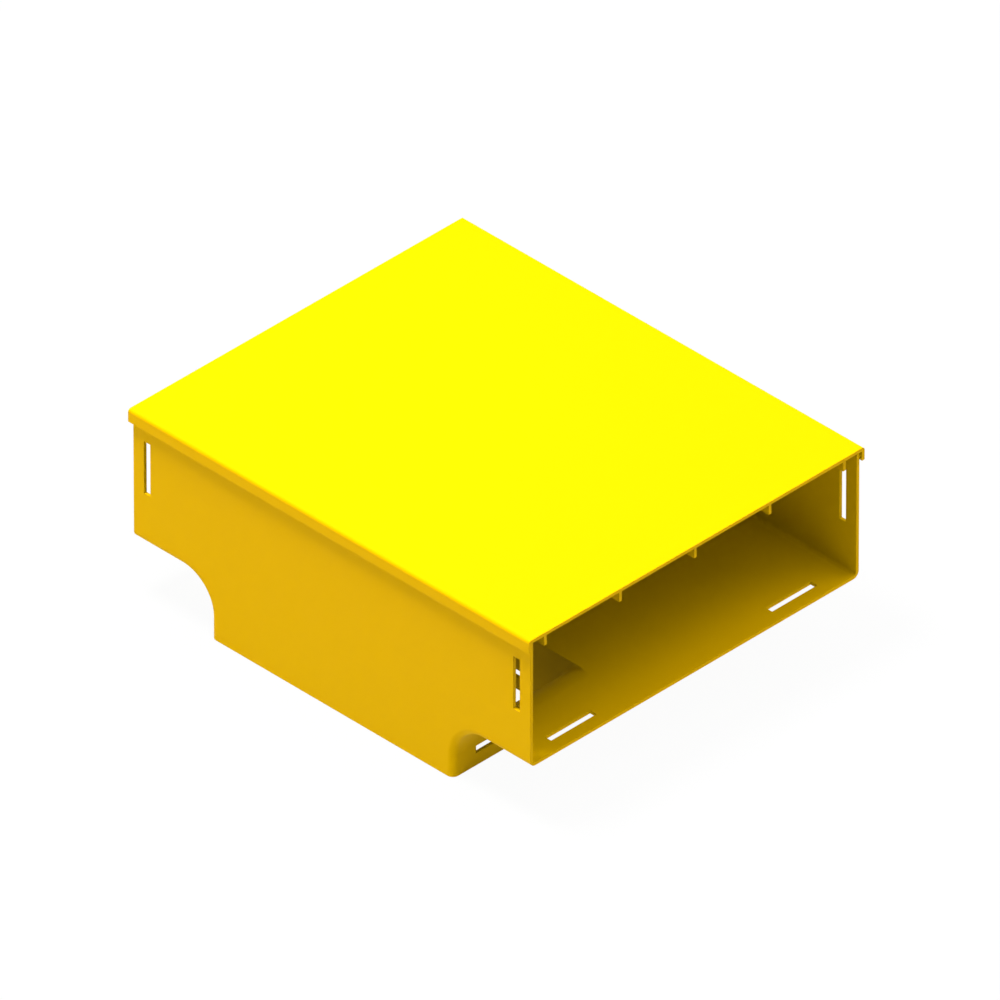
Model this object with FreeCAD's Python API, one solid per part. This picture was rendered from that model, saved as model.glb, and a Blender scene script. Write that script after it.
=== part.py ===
import FreeCAD
import Part
import math
import os

Vector = FreeCAD.Vector

# All sizes are in millimetres. X runs along the trough, Y across it and Z up.
# The origin is under the middle of the trough, level with the mouth of the outlet.

# Trough, open at the top and at both ends. Width and depth are inside sizes.
trough_length = 368.0
trough_width = 300.0
trough_depth = 98.5
wall = 2.5
inner_corner_radius = 2.5

# Outlet, which drops from the trough floor against the front wall. Length and width are inside sizes.
outlet_length = 220.0
outlet_width = 98.5
outlet_drop = 45.0
flare_radius = 27.5

# Joining slots near the two trough ends and the outlet mouth.
# The two distances are from the outer face of the floor and of the side walls to a slot's middle.
slot_length = 42.0
slot_width = 6.0
slot_from_end = 12.7
side_slot_height = 61.0
base_slot_inset = 50.0

# Cover, a flat plate with a turned-down lip along each side
cover_thickness = 2.6
cover_overhang = 1.75
cover_edge_radius = 2.4
lip_thickness = 2.4
lip_depth = 7.6
lip_edge_radius = 0.4
lip_root_radius = 0.4

# Snap, where a bead inside each lip holds under a catch along the top of each side wall
snap_reach = 0.5
snap_clearance = 0.2
bead_height = 2.2
catch_height = 1.5

# Stiffening ribs under the cover, which end level with the trough's ends
rib_count = 5
rib_pitch = 69.3
rib_thickness = 2.5
rib_depth = 9.2

# How far a cutting form reaches past an open face
cut_past = 1.0

# Places worked out from the sizes above
trough_half = trough_length / 2
floor_underside = outlet_drop
wall_top = outlet_drop + wall + trough_depth
side_face = trough_width / 2 + wall
outlet_end_face = outlet_length / 2 + wall
outlet_back_face = -side_face + wall + outlet_width + wall
outer_corner_radius = inner_corner_radius + wall
lip_gap = snap_reach + snap_clearance
lip_inner_face = side_face + lip_gap
lip_outer_face = lip_inner_face + lip_thickness
cover_top = wall_top + cover_thickness
cover_half = trough_half + cover_overhang
tolerance = 0.001


def rounded_face(corners):
    """A flat face inside corners, each given as its point and the radius that rounds it."""
    starts = []
    ends = []
    edges = []
    for index, (corner, radius) in enumerate(corners):
        start = corner
        end = corner
        if radius > 0:
            to_last = (corners[index - 1][0] - corner).normalize()
            to_next = (corners[(index + 1) % len(corners)][0] - corner).normalize()
            half_angle = to_last.getAngle(to_next) / 2
            setback = radius / math.tan(half_angle)
            crown = radius / math.sin(half_angle) - radius
            start = corner + to_last * setback
            end = corner + to_next * setback
            middle = corner + (to_last + to_next).normalize() * crown
            edges.append(Part.Arc(start, middle, end).toShape())
        starts.append(start)
        ends.append(end)
    for index, end in enumerate(ends):
        start = starts[(index + 1) % len(starts)]
        if (start - end).Length > tolerance:
            edges.append(Part.LineSegment(end, start).toShape())
    return Part.Face(Part.Wire(Part.__sortEdges__(edges)))


def block(x_range, y_range, z_range):
    """A box between the given limits along X, Y and Z."""
    corner = Vector(x_range[0], y_range[0], z_range[0])
    return Part.makeBox(
        x_range[1] - x_range[0],
        y_range[1] - y_range[0],
        z_range[1] - z_range[0],
        corner,
    )


def edge_height(edge):
    """The height of the middle of an edge."""
    middle = (edge.FirstParameter + edge.LastParameter) / 2
    return edge.valueAt(middle).z


def lies_on(edge, y):
    """Whether an edge lies in the upright plane at y."""
    return all(abs(vertex.Y - y) < tolerance for vertex in edge.Vertexes)


def channel_form(inset, past):
    """The trough and its outlet as one closed form.

    With no inset it is the outer shape. Set in by the wall, and carried past the open faces, it is the space
    inside, so every corner and flare keeps the same wall.
    """
    end = trough_half + past
    top = wall_top + past
    floor = floor_underside + inset
    mouth = -past
    side = side_face - inset
    outlet_end = outlet_end_face - inset
    outlet_back = outlet_back_face - inset
    flare = flare_radius + inset
    corner = outer_corner_radius - inset

    # Front part, seen from the front as a trough with an outlet that flares into its floor
    outline = [
        (Vector(-end, -side, top), 0),
        (Vector(-end, -side, floor), 0),
        (Vector(-outlet_end, -side, floor), flare),
        (Vector(-outlet_end, -side, mouth), 0),
        (Vector(outlet_end, -side, mouth), 0),
        (Vector(outlet_end, -side, floor), flare),
        (Vector(end, -side, floor), 0),
        (Vector(end, -side, top), 0),
    ]
    front = rounded_face(outline).extrude(Vector(0, outlet_back + side, 0))
    front_edges = [
        edge
        for edge in front.Edges
        if (lies_on(edge, -side) or lies_on(edge, outlet_back))
        and mouth + tolerance < edge_height(edge) < floor + tolerance
    ]
    front = front.makeFillet(corner, front_edges)

    # The rest of the trough, behind the rounding of its front edge
    rear = block((-end, end), (corner - side, side), (floor, top))
    rear_edges = [
        edge
        for edge in rear.Edges
        if lies_on(edge, side) and abs(edge_height(edge) - floor) < tolerance
    ]
    rear = rear.makeFillet(corner, rear_edges)
    return front.fuse(rear).removeSplitter().Solids[0]


def slot_range(middle, size):
    """The limits of a slot along one axis."""
    return (middle - size / 2, middle + size / 2)


def through(face, inward):
    """The limits of a cut through the wall behind an outer face."""
    limits = (face - cut_past * inward, face + (wall + cut_past) * inward)
    return (min(limits), max(limits))


def trough_slots():
    """Slots near each trough end: one in each side wall and two in the floor."""
    slots = []
    for end in (-1, 1):
        across = slot_range(end * (trough_half - slot_from_end), slot_width)
        for side in (-1, 1):
            upright = slot_range(floor_underside + side_slot_height, slot_length)
            slots.append(block(across, through(side * side_face, -side), upright))
            along = slot_range(side * (side_face - base_slot_inset), slot_length)
            slots.append(block(across, along, through(floor_underside, 1)))
    return slots


def outlet_slots():
    """Slots above the outlet mouth: one in each end wall and two in the back wall."""
    slots = []
    level = slot_range(slot_from_end, slot_width)
    for end in (-1, 1):
        along_y = slot_range(outlet_back_face - side_slot_height, slot_length)
        slots.append(block(through(end * outlet_end_face, -end), along_y, level))
        along_x = slot_range(end * (outlet_end_face - base_slot_inset), slot_length)
        slots.append(block(along_x, through(outlet_back_face, -1), level))
    return slots


def catch(side):
    """A ridge along the outside of one side wall, sloped above and square below."""
    low = wall_top - lip_depth + bead_height + snap_clearance
    face = side * (side_face - wall / 2)
    crest = side * (side_face + snap_reach)
    root = side * side_face
    outline = [
        (Vector(-trough_half, face, low), 0),
        (Vector(-trough_half, crest, low), 0),
        (Vector(-trough_half, crest, low + catch_height - snap_reach), 0),
        (Vector(-trough_half, root, low + catch_height), 0),
        (Vector(-trough_half, face, low + catch_height), 0),
    ]
    return rounded_face(outline).extrude(Vector(trough_length, 0, 0))


def raceway_body():
    """Trough and outlet in one moulding, with its slots and the two catches for the cover."""
    shell = channel_form(0, 0).cut(channel_form(wall, cut_past))
    body = shell.cut(trough_slots() + outlet_slots())
    return body.fuse([catch(-1), catch(1)]).removeSplitter().Solids[0]


def cover_section():
    """The cover seen along the trough: a plate, two lips and the bead inside each lip."""
    lip_low = wall_top - lip_depth
    bead_top = lip_low + bead_height
    bead_face = lip_inner_face - snap_reach
    half = [
        (lip_inner_face, wall_top, lip_root_radius),
        (lip_inner_face, bead_top, 0),
        (bead_face, bead_top, 0),
        (bead_face, bead_top - snap_reach, 0),
        (lip_inner_face, lip_low, 0),
        (lip_outer_face, lip_low, lip_edge_radius),
        (lip_outer_face, cover_top, cover_edge_radius),
    ]
    right = [(Vector(-cover_half, y, z), radius) for y, z, radius in half]
    left = [(Vector(-cover_half, -y, z), radius) for y, z, radius in reversed(half)]
    return rounded_face(right + left)


def raceway_cover():
    """Cover with its lips and the row of ribs below its plate."""
    plate = cover_section().extrude(Vector(2 * cover_half, 0, 0))
    ribs = []
    for number in range(rib_count):
        middle = (number - (rib_count - 1) / 2) * rib_pitch
        across = slot_range(middle, rib_thickness)
        depth = (wall_top - rib_depth, wall_top + cover_thickness / 2)
        ribs.append(block((-trough_half, trough_half), across, depth))
    return plate.fuse(ribs).removeSplitter().Solids[0]


os.makedirs("parts", exist_ok=True)
raceway_body().exportStep("parts/raceway_body.step")
raceway_cover().exportStep("parts/raceway_cover.step")
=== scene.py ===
import bmesh
import bpy
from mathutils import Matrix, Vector

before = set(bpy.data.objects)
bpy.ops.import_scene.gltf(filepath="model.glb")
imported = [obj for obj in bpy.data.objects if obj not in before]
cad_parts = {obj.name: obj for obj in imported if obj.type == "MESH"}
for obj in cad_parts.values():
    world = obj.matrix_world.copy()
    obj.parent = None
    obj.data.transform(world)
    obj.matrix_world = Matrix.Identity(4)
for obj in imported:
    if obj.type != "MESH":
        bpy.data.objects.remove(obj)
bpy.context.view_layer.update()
print("frame loaded:", ", ".join(sorted(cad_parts)))

# Yellow moulded plastic, lengths in metres, colours as linear values
plasticLook = {
    "colour": (0.95, 0.54, 0.0, 1.0),
    "deeperColour": (0.92, 0.51, 0.0, 1.0),
    # Colour of the paler edges, partly wear and partly a painted highlight
    "rubAndHighlightColour": (0.96, 0.58, 0.01, 1.0),
    "bounceColour": (0.52, 0.53, 0.15, 1.0),
    "mottle": {"size": 0.09, "detail": 3, "amount": 0.22},
    "streaks": {"stretch": (0.30, 0.02, 0.02), "size": 1.0, "detail": 2, "amount": 0.10},
    # Where the edges are painted paler, as wear and as a painted highlight
    "rubAndHighlight": {"radius": 0.0009, "samples": 6, "plainFaceAt": 1.0, "paleEdgeAt": 0.75, "amount": 0.25},
    "patches": {"size": 0.012, "detail": 4, "roughness": (0.40, 0.54)},
    "specular": 0.03,
    "specularTint": (1.0, 0.68, 0.08, 1.0),
    "softEdge": {"radius": 0.0004, "samples": 6},
    "waves": {"size": 0.045, "detail": 1, "depth": 0.0002, "strength": 0.08},
    "grain": {"size": 0.0006, "detail": 2, "depth": 0.00002, "strength": 0.35},
}


def noise(nodes, links, place, look):
    texture = nodes.new("ShaderNodeTexNoise")
    texture.inputs["Scale"].default_value = 1 / look["size"]
    texture.inputs["Detail"].default_value = look["detail"]
    links.new(place, texture.inputs["Vector"])
    return texture.outputs["Fac"]


def times(nodes, links, value, amount):
    product = nodes.new("ShaderNodeMath")
    product.operation = "MULTIPLY"
    product.inputs[1].default_value = amount
    links.new(value, product.inputs[0])
    return product.outputs["Value"]


def blendColour(nodes, links, factor, first, second):
    mix = nodes.new("ShaderNodeMix")
    mix.data_type = "RGBA"
    links.new(factor, mix.inputs["Factor"])
    for socket, colour in (("A", first), ("B", second)):
        plug = [s for s in mix.inputs if s.name == socket and s.type == "RGBA"][0]
        if isinstance(colour, tuple):
            plug.default_value = colour
        else:
            links.new(colour, plug)
    return [s for s in mix.outputs if s.type == "RGBA"][0]


def bump(nodes, links, place, look, normal):
    relief = nodes.new("ShaderNodeBump")
    relief.inputs["Strength"].default_value = look["strength"]
    relief.inputs["Distance"].default_value = look["depth"]
    links.new(noise(nodes, links, place, look), relief.inputs["Height"])
    links.new(normal, relief.inputs["Normal"])
    return relief.outputs["Normal"]


# The normal as it would be with the edges rounded off
def softNormal(nodes, look):
    rounded = nodes.new("ShaderNodeBevel")
    rounded.samples = look["samples"]
    rounded.inputs["Radius"].default_value = look["radius"]
    return rounded.outputs["Normal"]


# Zero on a flat face, rising to one at an edge, where the soft normal is less like the true one
def edgeMask(nodes, links, look):
    surface = nodes.new("ShaderNodeNewGeometry")
    likeness = nodes.new("ShaderNodeVectorMath")
    likeness.operation = "DOT_PRODUCT"
    links.new(softNormal(nodes, look), likeness.inputs[0])
    links.new(surface.outputs["Normal"], likeness.inputs[1])
    edgeShare = nodes.new("ShaderNodeMapRange")
    edgeShare.inputs["From Min"].default_value = look["plainFaceAt"]
    edgeShare.inputs["From Max"].default_value = look["paleEdgeAt"]
    links.new(likeness.outputs["Value"], edgeShare.inputs["Value"])
    return edgeShare.outputs["Result"]


def mouldedPlastic(name, look):
    material = bpy.data.materials.new(name)
    material.use_nodes = True
    nodes = material.node_tree.nodes
    links = material.node_tree.links
    shader = nodes["Principled BSDF"]
    place = nodes.new("ShaderNodeTexCoord").outputs["Object"]

    # Broad mottling and faint streaks along the trough, as the melt flowed
    stretched = nodes.new("ShaderNodeMapping")
    stretched.inputs["Scale"].default_value = [1 / length for length in look["streaks"]["stretch"]]
    links.new(place, stretched.inputs["Vector"])
    colour = look["colour"]
    for pattern, where in (("mottle", place), ("streaks", stretched.outputs["Vector"])):
        shade = noise(nodes, links, where, look[pattern])
        share = times(nodes, links, shade, look[pattern]["amount"])
        colour = blendColour(nodes, links, share, colour, look["deeperColour"])

    # Edges a little paler: rubbed by handling, and a painted edge highlight
    rubAndHighlight = times(nodes, links, edgeMask(nodes, links, look["rubAndHighlight"]), look["rubAndHighlight"]["amount"])
    colour = blendColour(nodes, links, rubAndHighlight, colour, look["rubAndHighlightColour"])

    # Light that goes from wall to wall is kept pale, or the inside would turn orange
    bounced = nodes.new("ShaderNodeLightPath").outputs["Is Diffuse Ray"]
    colour = blendColour(nodes, links, bounced, colour, look["bounceColour"])
    links.new(colour, shader.inputs["Base Color"])

    # Satin surface, duller and shinier in small patches
    shiniest, dullest = look["patches"]["roughness"]
    roughness = nodes.new("ShaderNodeMapRange")
    roughness.inputs["To Min"].default_value = shiniest
    roughness.inputs["To Max"].default_value = dullest
    links.new(noise(nodes, links, place, look["patches"]), roughness.inputs["Value"])
    links.new(roughness.outputs["Result"], shader.inputs["Roughness"])
    shader.inputs["Specular IOR Level"].default_value = look["specular"]
    shader.inputs["Specular Tint"].default_value = look["specularTint"]

    # Soft edges, then the slow waves of a cooled wall, then the grain of the mould
    normal = softNormal(nodes, look["softEdge"])
    for relief in ("waves", "grain"):
        normal = bump(nodes, links, place, look[relief], normal)
    links.new(normal, shader.inputs["Normal"])
    return material


mouldedYellow = mouldedPlastic("mouldedYellow", plasticLook)
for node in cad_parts.values():
    for materialSlot in node.material_slots:
        materialSlot.material = mouldedYellow
print("plastic put on:", ", ".join(sorted(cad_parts)))

# Pale floor, which shows as white to the camera and still takes a soft shadow
floorLook = {
    "radius": 3.0,
    "height": -0.0002,
    "sides": 96,
    "colour": (0.4, 0.4, 0.4, 1.0),
    "glow": 0.18,
    "shownColour": (0.74, 0.74, 0.74, 1.0),
    "shownGlow": 1.0,
    "whiteShare": 0.96,
}


# One for what the camera sees, straight, in gloss or through a clear piece
def seenByCamera(nodes, links):
    path = nodes.new("ShaderNodeLightPath")
    seen = path.outputs["Is Camera Ray"]
    for ray in ("Is Glossy Ray", "Is Transmission Ray"):
        either = nodes.new("ShaderNodeMath")
        either.operation = "MAXIMUM"
        links.new(seen, either.inputs[0])
        links.new(path.outputs[ray], either.inputs[1])
        seen = either.outputs["Value"]
    return seen


def mixShaders(nodes, links, factor, first, second):
    mix = nodes.new("ShaderNodeMixShader")
    if isinstance(factor, float):
        mix.inputs["Fac"].default_value = factor
    else:
        links.new(factor, mix.inputs["Fac"])
    links.new(first, mix.inputs[1])
    links.new(second, mix.inputs[2])
    return mix.outputs["Shader"]


def matt(nodes, colour):
    shader = nodes.new("ShaderNodeBsdfDiffuse")
    shader.inputs["Color"].default_value = colour
    return shader.outputs["BSDF"]


def glowing(nodes, strength):
    shader = nodes.new("ShaderNodeEmission")
    shader.inputs["Strength"].default_value = strength
    return shader.outputs["Emission"]


# A matt surface lit from inside, like the top of a light table
def lightTable(nodes, links, colour, strength):
    both = nodes.new("ShaderNodeAddShader")
    links.new(matt(nodes, colour), both.inputs[0])
    links.new(glowing(nodes, strength), both.inputs[1])
    return both.outputs["Shader"]


def buildFloor(look):
    mesh = bpy.data.meshes.new("floor")
    bm = bmesh.new()
    bmesh.ops.create_circle(bm, cap_ends=True, radius=look["radius"], segments=look["sides"])
    bmesh.ops.translate(bm, verts=bm.verts, vec=(0, 0, look["height"]))
    bm.to_mesh(mesh)
    bm.free()
    floor = bpy.data.objects.new("floor", mesh)
    bpy.context.scene.collection.objects.link(floor)

    material = bpy.data.materials.new("paleFloor")
    material.use_nodes = True
    nodes = material.node_tree.nodes
    links = material.node_tree.links
    nodes.remove(nodes["Principled BSDF"])
    shown = mixShaders(
        nodes, links, look["whiteShare"],
        matt(nodes, look["shownColour"]), glowing(nodes, look["shownGlow"]))
    whole = mixShaders(
        nodes, links, seenByCamera(nodes, links),
        lightTable(nodes, links, look["colour"], look["glow"]), shown)
    links.new(whole, nodes["Material Output"].inputs["Surface"])
    mesh.materials.append(material)
    return floor


floor = buildFloor(floorLook)
print("floor laid")

# A lamp overhead, a broad one behind, weaker ones round the sides, and an even sky
lampLooks = {
    "overheadLamp": {"from": (-0.15, -0.22, 1.00), "size": 0.8, "power": 78.0},
    "rearLamp": {"from": (0.10, 0.62, 0.78), "size": 3.0, "power": 39.0},
    "frontLamp": {"from": (-0.08, -0.92, 0.22), "size": 1.1, "power": 13.2},
    "leftLamp": {"from": (-0.85, 0.10, 0.60), "size": 2.0, "power": 14.0},
    "rightLamp": {"from": (0.92, 0.05, 0.28), "size": 1.5, "power": 6.0},
    "highRightLamp": {"from": (0.45, 0.00, 0.85), "size": 2.0, "power": 13.0},
}
lampRing = {
    "aim": (0.0, 0.0, 0.08),
    "distance": 2.6,
}
skyLook = {
    "colour": (1.0, 1.0, 1.0, 1.0),
    "strength": 0.04,
    "shownStrength": 1.0,
}


# Stands a lamp or a camera off from its aim, looking back at it
def standOff(name, data, aim, direction, distance):
    away = Vector(direction).normalized()
    stood = bpy.data.objects.new(name, data)
    stood.location = Vector(aim) + away * distance
    stood.rotation_euler = away.to_track_quat("Z", "Y").to_euler()
    bpy.context.scene.collection.objects.link(stood)
    return stood


def hangLamp(name, look, ring):
    data = bpy.data.lights.new(name, "AREA")
    data.shape = "DISK"
    data.size = look["size"]
    data.energy = look["power"]
    standOff(name, data, ring["aim"], look["from"], ring["distance"])


def lightSky(look):
    world = bpy.data.worlds.new("studio")
    world.use_nodes = True
    nodes = world.node_tree.nodes
    links = world.node_tree.links
    dim = nodes["Background"]
    white = nodes.new("ShaderNodeBackground")
    for background, strength in ((dim, look["strength"]), (white, look["shownStrength"])):
        background.inputs["Color"].default_value = look["colour"]
        background.inputs["Strength"].default_value = strength
    sky = mixShaders(
        nodes, links, seenByCamera(nodes, links),
        dim.outputs["Background"], white.outputs["Background"])
    links.new(sky, nodes["World Output"].inputs["Surface"])
    bpy.context.scene.world = world


for lampName, lampLook in lampLooks.items():
    hangLamp(lampName, lampLook, lampRing)
lightSky(skyLook)
print("lights set")

# A very long lens from far away, as the picture shows hardly any perspective
cameraLook = {
    "aim": (-0.0034, 0.0070, 0.0854),
    "back": (0.5767, -0.5767, 0.5787),
    "distance": 27.963,
    "lens": 1534.0,
    "nearest": 5.0,
    "farthest": 60.0,
}


def placeCamera(look):
    data = bpy.data.cameras.new("camera")
    data.lens = look["lens"]
    data.clip_start = look["nearest"]
    data.clip_end = look["farthest"]
    camera = standOff("camera", data, look["aim"], look["back"], look["distance"])
    bpy.context.scene.camera = camera


placeCamera(cameraLook)
bpy.context.scene.view_settings.view_transform = "Standard"
print("camera placed")
